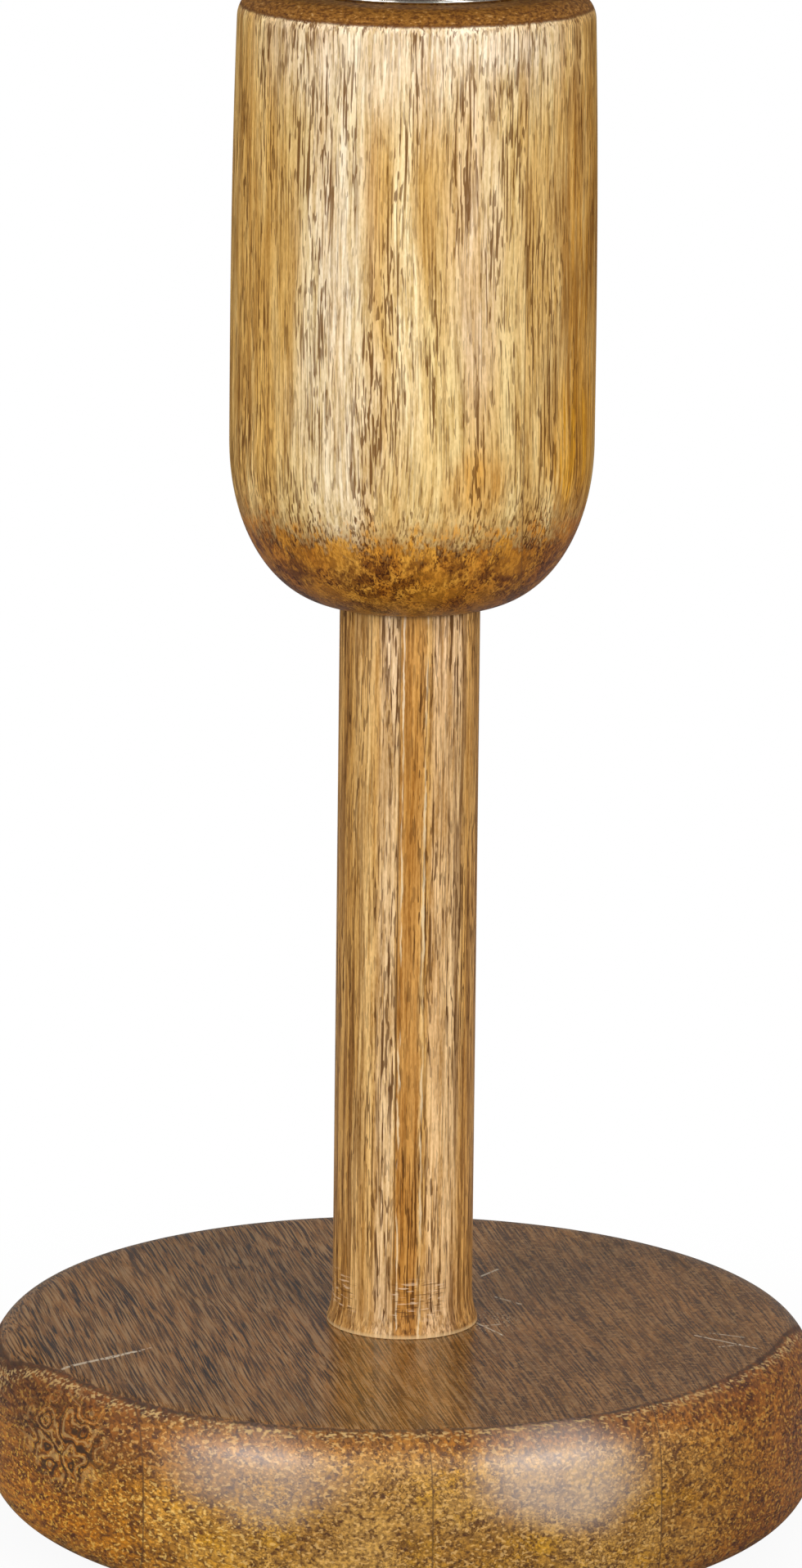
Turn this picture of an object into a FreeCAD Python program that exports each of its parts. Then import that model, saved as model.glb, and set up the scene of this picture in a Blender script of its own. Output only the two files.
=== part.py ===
import FreeCAD, Part
import math
import os

# Pricket candle stand: a turned wooden base, stem and head, drawn together by a steel
# tie rod, with a polished drip pan and a spike on top and felt underneath.
# Millimetres, +Z up. The origin is the middle of the felt's underside, on the table.

# Base, a thick disc with a full, soft edge
base_radius = 75.0
base_thickness = 33.5
base_widest_height = 15.3
base_lower_edge_width = 11.5
base_lower_corner_share = 0.957
base_upper_edge_width = 9.6
base_upper_corner_share = 0.9375

# Recess under the base for the nut and its washers
recess_side_room = 4.0
recess_end_room = 1.8

# Stem, between the base and the head
stem_length = 131.3
stem_bottom_radius = 12.5
stem_top_radius = 12.35
stem_cove_height = 6.0
stem_cove_width = 1.0
stem_foot_lip = 0.7

# Tenons at the ends of the stem, and how they sit in their mortises
tenon_radius = 8.0
base_tenon_length = 13.5
head_tenon_length = 22.0
tenon_chamfer = 1.0
tenon_side_clearance = 0.1
tenon_end_clearance = 0.5

# Head, a cylinder with a round bottom and an eased rim
head_height = 107.8
head_radius = 32.0
head_bottom_height = 28.5
head_bottom_corner_share = 0.81
head_straight_height = 26.0
head_draw_in = 0.9
head_rim_rounding = 4.8

# Tie rod and what tightens it
rod_radius = 3.0
rod_clearance = 0.3
rod_overhang = 2.0
rod_tip_chamfer = 0.5
nut_across_flats = 10.0
nut_height = 5.0
nut_sides = 6
nut_chamfer_share = 0.08
lock_washer_radius = 5.9
lock_washer_thickness = 1.6
lock_washer_gap = 1.0
washer_radius = 9.0
washer_thickness = 1.6
washer_clearance = 0.2

# Drip pan, spun from sheet: flat floor, upright wall, flared brim, rolled edge
pan_sheet = 0.8
pan_wall_radius = 21.2
pan_bend_radius = 1.4
pan_wall_height = 2.6
pan_flare_radius = 4.0
pan_brim_slope_deg = 14.0
pan_brim_length = 5.0
pan_bead_radius = 0.9

# Pricket, turned from bar and tapped to screw down on the rod
collar_radius = 6.0
collar_edge = 0.8
collar_thread_depth = 5.0
collar_thread_spare = 0.5
collar_roof = 1.5
spike_radius = 2.2
spike_height = 30.0
spike_tip_radius = 0.35
spike_root_fillet = 1.8

# Felt under the base
felt_thickness = 1.5
felt_margin = 3.0

# Cutting tools run past the faces they cut by this much
overrun = 1.0

# Heights that follow from the sizes above
base_bottom_z = felt_thickness
base_top_z = base_bottom_z + base_thickness
head_bottom_z = base_top_z + stem_length
head_top_z = head_bottom_z + head_height
pan_floor_z = head_top_z + pan_sheet
rod_bottom_z = base_bottom_z + recess_end_room
nut_z = rod_bottom_z + rod_overhang
lock_washer_z = nut_z + nut_height
washer_z = lock_washer_z + lock_washer_thickness
recess_top_z = washer_z + washer_thickness
rod_top_z = pan_floor_z + collar_thread_depth - collar_thread_spare

# Radii that follow from them
base_foot_radius = base_radius - base_lower_edge_width
base_top_radius = base_radius - base_upper_edge_width
stem_foot_radius = stem_bottom_radius + stem_cove_width
head_rim_radius = head_radius - head_draw_in
rod_bore_radius = rod_radius + rod_clearance
recess_radius = washer_radius + recess_side_room
mortise_radius = tenon_radius + tenon_side_clearance
base_mortise_depth = base_tenon_length + tenon_end_clearance
head_mortise_depth = head_tenon_length + tenon_end_clearance

full_turn_deg = 360
half_turn_deg = 180
quarter_turn_deg = 90
half_share = 0.5


def at(radius, height):
    """A point of an outline, in the half plane through the turning axis."""
    return FreeCAD.Vector(radius, 0, height)


def unit(vector):
    """A vector's direction, one long."""
    return vector / vector.Length


def upright_arc_centre(far_end, upright_end):
    """Centre of the arc that runs upright at one end and passes through the other."""
    across = far_end.x - upright_end.x
    rise = far_end.z - upright_end.z
    radius = (across ** 2 + rise ** 2) * half_share / across
    return at(upright_end.x + radius, upright_end.z)


def two_arcs(level_end, upright_end, corner_share):
    """Centres and meeting point of two arcs that round a corner between a level and an upright end.

    The arc at the level end has that share of the corner's width as its radius. The other one's
    radius follows, because both touch where the line through their centres meets them.
    """
    width = upright_end.x - level_end.x
    height = abs(upright_end.z - level_end.z)
    level_radius = corner_share * width
    excess = width ** 2 + height ** 2 - (height + height) * level_radius
    upright_radius = excess * half_share / (width - level_radius)
    level_centre = at(level_end.x, level_end.z + math.copysign(level_radius, upright_end.z - level_end.z))
    upright_centre = at(upright_end.x - upright_radius, upright_end.z)
    outward = unit(level_centre - upright_centre)
    if upright_radius > level_radius:
        meeting = upright_centre + outward * upright_radius
    else:
        meeting = level_centre - outward * level_radius
    return level_centre, meeting, upright_centre


class Outline:
    """The outline of a turned piece, drawn edge after edge from a first point."""

    def __init__(self, radius, height):
        self.first = at(radius, height)
        self.pen = self.first
        self.edges = []

    def line(self, radius, height):
        """A straight edge."""
        end = at(radius, height)
        self.edges.append(Part.LineSegment(self.pen, end).toShape())
        self.pen = end

    def arc(self, centre, end):
        """An arc about a centre to a point as far from it as the pen is, the short way round."""
        radius = (self.pen - centre).Length
        middle = centre + unit((self.pen - centre) + (end - centre)) * radius
        self.edges.append(Part.Arc(self.pen, middle, end).toShape())
        self.pen = end

    def swing(self, centre, end_deg):
        """An arc about a centre to the point at an angle from the level."""
        angle = math.radians(end_deg)
        self.arc(centre, centre + at(math.cos(angle), math.sin(angle)) * (self.pen - centre).Length)

    def out_and_up(self, radius, height, corner_share):
        """A rounded corner that leaves level and arrives upright."""
        end = at(radius, height)
        level_centre, meeting, upright_centre = two_arcs(self.pen, end, corner_share)
        self.arc(level_centre, meeting)
        self.arc(upright_centre, end)

    def up_and_in(self, radius, height, corner_share):
        """A rounded corner that leaves upright and arrives level."""
        end = at(radius, height)
        level_centre, meeting, upright_centre = two_arcs(end, self.pen, corner_share)
        self.arc(upright_centre, meeting)
        self.arc(level_centre, end)

    def turned(self):
        """The outline closed with a last line and turned about the Z axis."""
        self.line(self.first.x, self.first.z)
        face = Part.Face(Part.Wire(self.edges))
        return face.revolve(FreeCAD.Vector(), FreeCAD.Vector(0, 0, 1), full_turn_deg)


def ring(inner_radius, outer_radius, bottom_z, thickness):
    """A flat ring about the Z axis."""
    outline = Outline(inner_radius, bottom_z)
    outline.line(outer_radius, bottom_z)
    outline.line(outer_radius, bottom_z + thickness)
    outline.line(inner_radius, bottom_z + thickness)
    return outline.turned()


def base():
    """Disc with a soft edge, a mortise on top and the nut's recess underneath."""
    outline = Outline(recess_radius, base_bottom_z)
    outline.line(base_foot_radius, base_bottom_z)
    widest_z = base_bottom_z + base_widest_height
    outline.out_and_up(base_radius, widest_z, base_lower_corner_share)
    outline.up_and_in(base_top_radius, base_top_z, base_upper_corner_share)
    outline.line(mortise_radius, base_top_z)
    outline.line(mortise_radius, base_top_z - base_mortise_depth)
    outline.line(rod_bore_radius, base_top_z - base_mortise_depth)
    outline.line(rod_bore_radius, recess_top_z)
    outline.line(recess_radius, recess_top_z)
    return outline.turned()


def stem():
    """Tapered stick with a cove at its foot, a tenon at each end and a bore for the rod."""
    outline = Outline(rod_bore_radius, base_top_z - base_tenon_length)
    outline.line(tenon_radius - tenon_chamfer, base_top_z - base_tenon_length)
    outline.line(tenon_radius, base_top_z - base_tenon_length + tenon_chamfer)
    outline.line(tenon_radius, base_top_z)
    outline.line(stem_foot_radius, base_top_z)
    outline.line(stem_foot_radius, base_top_z + stem_foot_lip)
    cove_top = at(stem_bottom_radius, base_top_z + stem_foot_lip + stem_cove_height)
    outline.arc(upright_arc_centre(outline.pen, cove_top), cove_top)
    outline.line(stem_top_radius, head_bottom_z)
    outline.line(tenon_radius, head_bottom_z)
    outline.line(tenon_radius, head_bottom_z + head_tenon_length - tenon_chamfer)
    outline.line(tenon_radius - tenon_chamfer, head_bottom_z + head_tenon_length)
    outline.line(rod_bore_radius, head_bottom_z + head_tenon_length)
    return outline.turned()


def head():
    """Round-bottomed cylinder that draws in towards its eased rim, bored for stem and rod."""
    side_z = head_bottom_z + head_bottom_height
    draw_in_z = side_z + head_straight_height
    rim = at(head_rim_radius, head_top_z - head_rim_rounding)
    outline = Outline(mortise_radius, head_bottom_z)
    outline.line(stem_top_radius, head_bottom_z)
    outline.out_and_up(head_radius, side_z, head_bottom_corner_share)
    outline.line(head_radius, draw_in_z)
    outline.arc(upright_arc_centre(rim, outline.pen), rim)
    outline.swing(at(rim.x - head_rim_rounding, rim.z), quarter_turn_deg)
    outline.line(rod_bore_radius, head_top_z)
    outline.line(rod_bore_radius, head_bottom_z + head_mortise_depth)
    outline.line(mortise_radius, head_bottom_z + head_mortise_depth)
    return outline.turned()


def tie_rod():
    """Steel rod from the nut's recess to the pricket's collar, its ends chamfered."""
    rod = Part.makeCylinder(rod_radius, rod_top_z - rod_bottom_z, at(0, rod_bottom_z))
    ends = [edge for edge in rod.Edges if isinstance(edge.Curve, Part.Circle)]
    return rod.makeChamfer(rod_tip_chamfer, ends)


def tie_rod_nut():
    """Hexagon nut with its corners turned off, tapped to the rod's size."""
    corner_radius = nut_across_flats * half_share / math.cos(math.pi / nut_sides)
    chamfer = nut_across_flats * nut_chamfer_share
    hexagon = [at(corner_radius, nut_z)]
    turn = FreeCAD.Rotation(FreeCAD.Vector(0, 0, 1), full_turn_deg / nut_sides)
    for _ in range(nut_sides):
        hexagon.append(turn.multVec(hexagon[-1]))
    prism = Part.Face(Part.makePolygon(hexagon)).extrude(FreeCAD.Vector(0, 0, nut_height))
    drum = Outline(rod_radius, nut_z)
    drum.line(corner_radius - chamfer, nut_z)
    drum.line(corner_radius, nut_z + chamfer * half_share)
    drum.line(corner_radius, nut_z + nut_height - chamfer * half_share)
    drum.line(corner_radius - chamfer, nut_z + nut_height)
    drum.line(rod_radius, nut_z + nut_height)
    return prism.common(drum.turned())


def lock_washer():
    """Spring washer, cut through on one side."""
    inner_radius = rod_radius + washer_clearance
    whole = ring(inner_radius, lock_washer_radius, lock_washer_z, lock_washer_thickness)
    corner = FreeCAD.Vector(0, -lock_washer_gap * half_share, lock_washer_z - overrun)
    slit = Part.makeBox(lock_washer_radius + overrun, lock_washer_gap,
                        lock_washer_thickness + overrun + overrun, corner)
    return whole.cut(slit)


def tie_rod_washer():
    """Wide plain washer between the spring washer and the wood."""
    return ring(rod_radius + washer_clearance, washer_radius, washer_z, washer_thickness)


def drip_pan():
    """Spun pan: a floor, an upright wall that flares to a brim, and a rolled edge."""
    wall_top_z = head_top_z + pan_bend_radius + pan_wall_height
    bend_centre = at(pan_wall_radius - pan_bend_radius, head_top_z + pan_bend_radius)
    flare_centre = at(pan_wall_radius + pan_flare_radius, wall_top_z)
    brim_deg = quarter_turn_deg + pan_brim_slope_deg
    slope = math.radians(pan_brim_slope_deg)
    along = at(math.cos(slope), math.sin(slope))
    upright = at(-math.sin(slope), math.cos(slope))
    brim_start = flare_centre + upright * pan_flare_radius
    brim_end = brim_start + along * pan_brim_length
    brim_start_inside = brim_start + upright * pan_sheet
    brim_end_inside = brim_end + upright * pan_sheet

    outline = Outline(rod_bore_radius, head_top_z)
    outline.line(bend_centre.x, head_top_z)
    outline.swing(bend_centre, 0)
    outline.line(pan_wall_radius, wall_top_z)
    outline.swing(flare_centre, brim_deg)
    outline.line(brim_end.x, brim_end.z)
    outline.line(brim_end_inside.x, brim_end_inside.z)
    outline.line(brim_start_inside.x, brim_start_inside.z)
    outline.swing(flare_centre, half_turn_deg)
    outline.line(pan_wall_radius - pan_sheet, bend_centre.z)
    outline.swing(bend_centre, -quarter_turn_deg)
    outline.line(rod_bore_radius, pan_floor_z)
    bead_centre = (brim_end + brim_end_inside) * half_share
    bead = Part.makeTorus(bead_centre.x, pan_bead_radius, FreeCAD.Vector(0, 0, bead_centre.z))
    return outline.turned().fuse(bead).removeSplitter()


def pricket():
    """Spike on a round collar, tapped from below for the end of the rod."""
    thread_top_z = pan_floor_z + collar_thread_depth
    collar_top_z = thread_top_z + collar_roof
    tip_z = collar_top_z + spike_height
    outline = Outline(rod_radius, pan_floor_z)
    outline.line(collar_radius, pan_floor_z)
    outline.line(collar_radius, collar_top_z - collar_edge)
    outline.swing(at(collar_radius - collar_edge, collar_top_z - collar_edge), quarter_turn_deg)
    outline.line(spike_radius + spike_root_fillet, collar_top_z)
    fillet_z = collar_top_z + spike_root_fillet
    outline.swing(at(spike_radius + spike_root_fillet, fillet_z), half_turn_deg)
    tip_centre = at(0, tip_z - spike_tip_radius)
    outline.line(spike_tip_radius, tip_centre.z)
    outline.swing(tip_centre, quarter_turn_deg)
    outline.line(0, thread_top_z)
    outline.line(rod_radius, thread_top_z)
    return outline.turned()


def felt_pad():
    """Felt disc that covers the recess and stands on the table."""
    return Part.makeCylinder(base_foot_radius - felt_margin, felt_thickness)


def main():
    """Write one file for each piece."""
    os.makedirs("parts", exist_ok=True)
    for piece in (felt_pad, base, stem, head, tie_rod, tie_rod_nut, lock_washer,
                  tie_rod_washer, drip_pan, pricket):
        solid = piece().Solids[0]
        solid.exportStep("parts/" + piece.__name__ + ".step")
        print(piece.__name__, "valid", solid.isValid(), "volume", round(solid.Volume))


main()
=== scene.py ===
import math

import bpy
import numpy as np
from mathutils import Matrix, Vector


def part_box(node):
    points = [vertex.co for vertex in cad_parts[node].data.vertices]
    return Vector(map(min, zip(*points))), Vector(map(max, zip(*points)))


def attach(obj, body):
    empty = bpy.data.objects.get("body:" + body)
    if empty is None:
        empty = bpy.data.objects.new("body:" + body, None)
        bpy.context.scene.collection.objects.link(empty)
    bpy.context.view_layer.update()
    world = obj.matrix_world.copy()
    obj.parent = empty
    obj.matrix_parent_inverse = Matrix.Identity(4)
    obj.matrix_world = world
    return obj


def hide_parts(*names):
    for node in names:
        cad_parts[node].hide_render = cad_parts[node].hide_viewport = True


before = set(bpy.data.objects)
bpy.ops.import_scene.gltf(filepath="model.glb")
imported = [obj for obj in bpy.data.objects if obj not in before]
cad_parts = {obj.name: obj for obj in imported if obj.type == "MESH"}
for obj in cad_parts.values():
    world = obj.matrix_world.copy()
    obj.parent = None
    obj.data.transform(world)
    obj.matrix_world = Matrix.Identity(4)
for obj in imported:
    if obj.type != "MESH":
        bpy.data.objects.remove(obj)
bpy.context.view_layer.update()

MM = 0.001
UP, DOWN = (0, 0, 1), (0, 0, -1)
RIGHT, BACK, FRONT = (1, 0, 0), (0, 1, 0), (0, -1, 0)


# Outlines, each an array of (radius, height) points in metres

def straight(start, end, steps):
    """Points on the straight line from start to end, end left out."""
    share = np.arange(steps)[:, None] / steps
    return (1 - share) * np.array(start) + share * np.array(end)


def arc(centre, radius, start_deg, end_deg, steps):
    """Points on a circle about the centre, from one angle to the other, the last left out."""
    angle = np.radians(start_deg + (end_deg - start_deg) * np.arange(steps) / steps)
    return np.array(centre) + radius * np.column_stack([np.cos(angle), np.sin(angle)])


def soft_corner(level_end, upright_end, power, steps, reverse=False):
    """Quarter of a superellipse between a level and an upright end, the last point left out.

    With w and h the corner's width and height, x the distance out from the level end and y the
    distance up or down from the upright end, (x / w)^power + (y / h)^power = 1.
    """
    turn = math.pi / 4 * (1 - np.cos(math.pi * np.arange(steps) / steps))
    if reverse:
        turn = math.pi / 2 - turn
    level, upright = np.array(level_end), np.array(upright_end)
    radius = level[0] + (upright[0] - level[0]) * np.sin(turn) ** (2 / power)
    height = upright[1] + (level[1] - upright[1]) * np.cos(turn) ** (2 / power)
    return np.column_stack([radius, height])


# Turned pieces
OVAL_TWIST = 9.0  # radians that the oval turns in a metre of height
SHARP_DEG = 35.0  # edges that turn by more than this stay sharp


def turned(name, outline, around, oval=0.0, phase=0.0):
    """An outline carried round the Z axis as a closed, smooth-shaded surface.

    Point (r, z) at angle a goes to (s cos a, s sin a, z), where s is r less the slight oval that
    wood dries to: s = r (1 - oval (1 + cos(2a + phase + twist z)) / 2). The outline runs
    anticlockwise in the (r, z) plane, so that faces point outwards. One that starts and ends on
    the axis is closed there by two poles.
    """
    poles = outline[0, 0] == 0 and outline[-1, 0] == 0
    ringed = outline[1:-1] if poles else outline
    rows = len(ringed)
    angle = 2 * math.pi * np.arange(around) / around
    radius, height = ringed[:, :1], ringed[:, 1:]
    drawn_in = oval * (1 + np.cos(2 * angle + phase + OVAL_TWIST * height)) / 2
    shrunk = radius * (1 - drawn_in)
    heights = height + 0 * shrunk
    points = np.stack([shrunk * np.cos(angle), shrunk * np.sin(angle), heights], axis=-1)
    points = points.reshape(-1, 3)
    bands = rows - 1 if poles else rows
    row, column = np.meshgrid(np.arange(bands), np.arange(around), indexing="ij")
    above, beside = (row + 1) % rows, (column + 1) % around
    faces = np.stack([row * around + column, row * around + beside,
                      above * around + beside, above * around + column], axis=-1)
    faces = faces.reshape(-1, 4).tolist()
    if poles:
        first, last = len(points), len(points) + 1
        points = np.vstack([points, [0, 0, outline[0, 1]], [0, 0, outline[-1, 1]]])
        here, there = np.arange(around), (np.arange(around) + 1) % around
        end = bands * around
        faces += np.column_stack([np.full(around, first), there, here]).tolist()
        faces += np.column_stack([np.full(around, last), end + here, end + there]).tolist()
    mesh = bpy.data.meshes.new(name)
    mesh.from_pydata(points.tolist(), [], faces)
    mesh.shade_smooth()
    mesh.set_sharp_from_angle(angle=math.radians(SHARP_DEG))
    piece = bpy.data.objects.new(name, mesh)
    bpy.context.scene.collection.objects.link(piece)
    return piece


def stands_for(piece, node):
    """The piece replaces a CAD node, which it hides, and joins the root body."""
    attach(piece, "root")
    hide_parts(node)
    return piece


base_low, base_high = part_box("base")
stem_low, stem_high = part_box("stem")
head_low, head_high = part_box("head")
pan_low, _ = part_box("drip_pan")
pricket_low, pricket_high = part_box("pricket")
felt_low, felt_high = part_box("felt_pad")

# Sizes that the boxes don't give
BASE_LOWER_EDGE = 17.0 * MM
BASE_WIDEST = 15.3 * MM
BASE_UPPER_EDGE = 11.1 * MM
BASE_EDGE_POWER = 3.0
RECESS_RADIUS = 13.0 * MM
RECESS_DEPTH = 12.0 * MM
MORTISE_RADIUS = 8.1 * MM
BASE_MORTISE = 14.0 * MM
HEAD_MORTISE = 22.5 * MM
ROD_BORE = 3.3 * MM
STEM_FOOT_LIP = 0.7 * MM
STEM_COVE = 6.0 * MM
STEM_COVE_POWER = 2.2
STEM_BOTTOM_RADIUS = 12.5 * MM
STEM_TOP_RADIUS = 12.35 * MM
TENON_RADIUS = 8.0 * MM
TENON_CHAMFER = 1.0 * MM
HEAD_BOTTOM = 29.0 * MM
HEAD_BOTTOM_POWER = 2.08
HEAD_DRAW_IN = 0.9 * MM
HEAD_DRAW_IN_POWER = 2.6
HEAD_RIM = 4.8 * MM
PAN_WALL_RADIUS = 21.2 * MM
PAN_SHEET = 0.8 * MM
PAN_BEND = 1.4 * MM
PAN_WALL = 2.6 * MM
PAN_FLARE = 4.0 * MM
PAN_BRIM_SLOPE_DEG = 14.0
PAN_BRIM = 5.0 * MM
PAN_BEAD = 0.9 * MM
PAN_FOOT_BEAD = 0.38 * MM
ROD_RADIUS = 3.0 * MM
COLLAR_HEIGHT = 6.5 * MM
COLLAR_EDGE = 0.8 * MM
COLLAR_LOWER_EDGE = COLLAR_EDGE / 4
COLLAR_BORE = 5.0 * MM
SPIKE_RADIUS = 2.2 * MM
SPIKE_TIP = 0.35 * MM
SPIKE_ROOT = 1.8 * MM
FELT_EDGE = 0.5 * MM
FELT_UPPER_EDGE = FELT_EDGE / 2
FELT_MIDDLE_SHARE = 0.02


def base_piece():
    """The disc: soft edge, mortise on top, the nut's recess underneath.

    Two superellipse quarters meet where the edge is widest, a wider one below and a tighter one
    above, and straight lines join the rest.
    """
    low, high, radius = base_low.z, base_high.z, base_high.x
    foot, top = (radius - BASE_LOWER_EDGE, low), (radius - BASE_UPPER_EDGE, high)
    widest = (radius, low + BASE_WIDEST)
    mortise_floor, recess_roof = high - BASE_MORTISE, low + RECESS_DEPTH
    outline = np.concatenate([
        straight((RECESS_RADIUS, low), foot, steps=16),
        soft_corner(foot, widest, BASE_EDGE_POWER, steps=48),
        soft_corner(top, widest, BASE_EDGE_POWER, steps=48, reverse=True),
        straight(top, (MORTISE_RADIUS, high), steps=20),
        [(MORTISE_RADIUS, high), (MORTISE_RADIUS, mortise_floor), (ROD_BORE, mortise_floor),
         (ROD_BORE, recess_roof), (RECESS_RADIUS, recess_roof)],
    ])
    piece = turned("base_turned", outline, around=360, oval=0.0016, phase=1.0)
    return stands_for(piece, "base")


def stem_piece():
    """The stick: a slight taper, a cove and lip at its foot, a tenon at each end.

    With t from 0 at the lip to 1 at the cove's top, the cove's radius is the stem's plus what the
    lip stands out times (1 - t)^power. The rest is straight lines and a quarter circle.
    """
    low, high, foot, top = stem_low.z, stem_high.z, base_high.z, head_low.z
    lip, cove = stem_high.x, foot + STEM_FOOT_LIP
    ease = STEM_FOOT_LIP / 3
    t = np.arange(16)[:, None] / 16
    flare = (lip - STEM_BOTTOM_RADIUS) * (1 - t) ** STEM_COVE_POWER
    outline = np.concatenate([
        [(ROD_BORE, low), (TENON_RADIUS - TENON_CHAMFER, low), (TENON_RADIUS, low + TENON_CHAMFER),
         (TENON_RADIUS, foot)],
        arc((lip - ease, foot + ease), ease, -90, 0, steps=5),
        [(lip, foot + ease)],
        np.hstack([STEM_BOTTOM_RADIUS + flare, cove + STEM_COVE * t]),
        straight((STEM_BOTTOM_RADIUS, cove + STEM_COVE), (STEM_TOP_RADIUS, top), steps=60),
        [(STEM_TOP_RADIUS, top), (TENON_RADIUS, top), (TENON_RADIUS, high - TENON_CHAMFER),
         (TENON_RADIUS - TENON_CHAMFER, high)],
        straight((ROD_BORE, high), (ROD_BORE, low), steps=8),
    ])
    piece = turned("stem_turned", outline, around=192, oval=0.004, phase=2.0)
    return stands_for(piece, "stem")


def head_piece():
    """The head: round bottom, a side that draws in a little, a rounded rim.

    The bottom is a superellipse quarter. With t from 0 at the side's foot to 1 under the rim, the
    side's radius is the widest less the draw-in times t^power.
    """
    low, high, radius = head_low.z, head_high.z, head_high.x
    side, rim, rim_centre = low + HEAD_BOTTOM, high - HEAD_RIM, radius - HEAD_DRAW_IN - HEAD_RIM
    mortise_roof = low + HEAD_MORTISE
    t = np.arange(64)[:, None] / 64
    outline = np.concatenate([
        [(MORTISE_RADIUS, low)],
        soft_corner((STEM_TOP_RADIUS, low), (radius, side), HEAD_BOTTOM_POWER, steps=56),
        np.hstack([radius - HEAD_DRAW_IN * t ** HEAD_DRAW_IN_POWER, side + (rim - side) * t]),
        arc((rim_centre, rim), HEAD_RIM, 0, 90, steps=16),
        straight((rim_centre, high), (ROD_BORE, high), steps=12),
        straight((ROD_BORE, high), (ROD_BORE, mortise_roof), steps=6),
        [(ROD_BORE, mortise_roof), (MORTISE_RADIUS, mortise_roof)],
    ])
    return stands_for(turned("head_turned", outline, around=288, oval=0.003), "head")


def pan_piece():
    """The spun pan: floor with a bead about its foot, upright wall, flare, brim and rolled edge.

    The bead is half a circle, the flare two arcs about one centre a sheet apart, and the brim runs
    on from it at its slope, out and back along the sheet's two faces, to a rolled edge that is a
    circle open only where the sheet enters it.
    """
    low = pan_low.z
    slope = math.radians(PAN_BRIM_SLOPE_DEG)
    along = np.array([math.cos(slope), math.sin(slope)])
    across = np.array([-math.sin(slope), math.cos(slope)])
    bend = np.array([PAN_WALL_RADIUS - PAN_BEND, low + PAN_BEND])
    flare = np.array([PAN_WALL_RADIUS + PAN_FLARE, low + PAN_BEND + PAN_WALL])
    brim = flare + across * PAN_FLARE
    brim_end = brim + along * PAN_BRIM
    roll_start = brim_end - along * PAN_BEAD
    open_deg = math.degrees(math.asin(PAN_SHEET / 2 / PAN_BEAD))
    inside, floor_top = PAN_WALL_RADIUS - PAN_SHEET, low + PAN_SHEET
    outline = np.concatenate([
        straight((ROD_BORE, low), (PAN_WALL_RADIUS, low), steps=12),
        arc((PAN_WALL_RADIUS, low + PAN_FOOT_BEAD), PAN_FOOT_BEAD, -90, 90, steps=12),
        straight((PAN_WALL_RADIUS, low + 2 * PAN_FOOT_BEAD), (PAN_WALL_RADIUS, flare[1]), steps=6),
        arc(flare, PAN_FLARE, 180, 90 + PAN_BRIM_SLOPE_DEG, steps=16),
        straight(brim, roll_start, steps=6),
        arc(brim_end + across * PAN_SHEET / 2, PAN_BEAD, PAN_BRIM_SLOPE_DEG - 180 + open_deg,
            PAN_BRIM_SLOPE_DEG + 180 - open_deg, steps=28),
        straight(roll_start + across * PAN_SHEET, brim + across * PAN_SHEET, steps=6),
        arc(flare, PAN_FLARE + PAN_SHEET, 90 + PAN_BRIM_SLOPE_DEG, 180, steps=16),
        straight((inside, flare[1]), (inside, bend[1]), steps=4),
        arc(bend, PAN_BEND - PAN_SHEET, 0, -90, steps=8),
        straight((bend[0], floor_top), (ROD_BORE, floor_top), steps=8),
        [(ROD_BORE, floor_top)],
    ])
    return stands_for(turned("pan_spun", outline, around=256), "drip_pan")


def pricket_piece():
    """The spike on its collar, hollow below for the end of the rod.

    The collar's upper edge, the hollow at the spike's root and its tip are parts of circles,
    joined by straight lines.
    """
    low, high, collar = pricket_low.z, pricket_high.z, pricket_high.x
    roof, bore = low + COLLAR_HEIGHT, low + COLLAR_BORE
    root = SPIKE_RADIUS + SPIKE_ROOT
    tip_deg = math.degrees(math.atan2(SPIKE_RADIUS - SPIKE_TIP, high - roof - SPIKE_ROOT))
    outline = np.concatenate([
        [(0.0, bore), (ROD_RADIUS / 2, bore), (ROD_RADIUS, bore), (ROD_RADIUS, low),
         (collar - COLLAR_LOWER_EDGE, low)],
        straight((collar, low + COLLAR_LOWER_EDGE), (collar, roof - COLLAR_EDGE), steps=4),
        arc((collar - COLLAR_EDGE, roof - COLLAR_EDGE), COLLAR_EDGE, 0, 90, steps=8),
        straight((collar - COLLAR_EDGE, roof), (root, roof), steps=3),
        arc((root, roof + SPIKE_ROOT), SPIKE_ROOT, 270, 180, steps=10),
        straight((SPIKE_RADIUS, roof + SPIKE_ROOT), (SPIKE_TIP, high - SPIKE_TIP), steps=40),
        arc((0.0, high - SPIKE_TIP), SPIKE_TIP, tip_deg, 90, steps=8),
        [(0.0, high)],
    ])
    return stands_for(turned("spike_turned", outline, around=96), "pricket")


def felt_piece():
    """The felt disc: level below and above, its cut edge worn to two quarter circles."""
    low, high, radius = felt_low.z, felt_high.z, felt_high.x
    middle, inner, upper = radius * FELT_MIDDLE_SHARE, radius - FELT_EDGE, radius - FELT_UPPER_EDGE
    outline = np.concatenate([
        [(0.0, low)],
        straight((middle, low), (inner, low), steps=40),
        arc((inner, low + FELT_EDGE), FELT_EDGE, -90, 0, steps=6),
        straight((radius, low + FELT_EDGE), (radius, high - FELT_UPPER_EDGE), steps=2),
        arc((upper, high - FELT_UPPER_EDGE), FELT_UPPER_EDGE, 0, 90, steps=4),
        straight((upper, high), (middle, high), steps=20),
        [(0.0, high)],
    ])
    piece = turned("felt_disc", outline, around=192, oval=0.004, phase=0.6)
    stands_for(piece, "felt_pad")
    return piece


# Shader sums

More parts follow.
